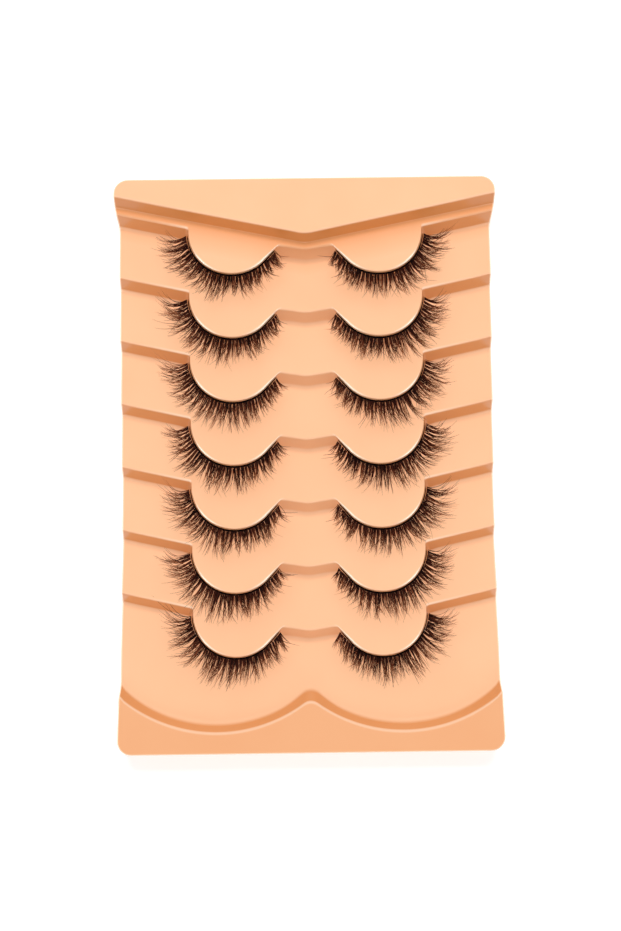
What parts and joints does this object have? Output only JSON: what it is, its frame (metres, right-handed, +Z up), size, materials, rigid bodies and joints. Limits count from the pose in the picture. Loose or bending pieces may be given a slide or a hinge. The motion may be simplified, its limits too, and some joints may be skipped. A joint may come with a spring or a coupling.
{
  "type": "false eyelash strips on a tray",
  "caption": "Pairs of false eyelash strips, each a curved band with a fringe of lashes, on the lobed steps of a formed plastic tray.",
  "frame": {"origin": "centre of the tray's footprint, on the surface that it rests on", "axes": "+X to the right, +Y toward the ledge at the top of the tray, +Z up out of the shelves"},
  "size_m": [0.1124, 0.1666, 0.0154],
  "materials": {
    "tray_plastic": "glossy formed plastic sheet, pale peach",
    "lash_band": "near-black knotted thread",
    "lash_hair": "fine dark brown and black fibre"
  },
  "bodies": {
    "root": {"tray": "tray_plastic", "band_L1": "lash_band", "band_R1": "lash_band", "band_L2": "lash_band", "band_R2": "lash_band", "band_L3": "lash_band", "band_R3": "lash_band", "band_L4": "lash_band", "band_R4": "lash_band", "band_L5": "lash_band", "band_R5": "lash_band", "band_L6": "lash_band", "band_R6": "lash_band", "band_L7": "lash_band", "band_R7": "lash_band", "fringe_L1": "lash_hair", "fringe_R1": "lash_hair", "fringe_L2": "lash_hair", "fringe_R2": "lash_hair", "fringe_L3": "lash_hair", "fringe_R3": "lash_hair", "fringe_L4": "lash_hair", "fringe_R4": "lash_hair", "fringe_L5": "lash_hair", "fringe_R5": "lash_hair", "fringe_L6": "lash_hair", "fringe_R6": "lash_hair", "fringe_L7": "lash_hair", "fringe_R7": "lash_hair"}
  },
  "joints": []
}
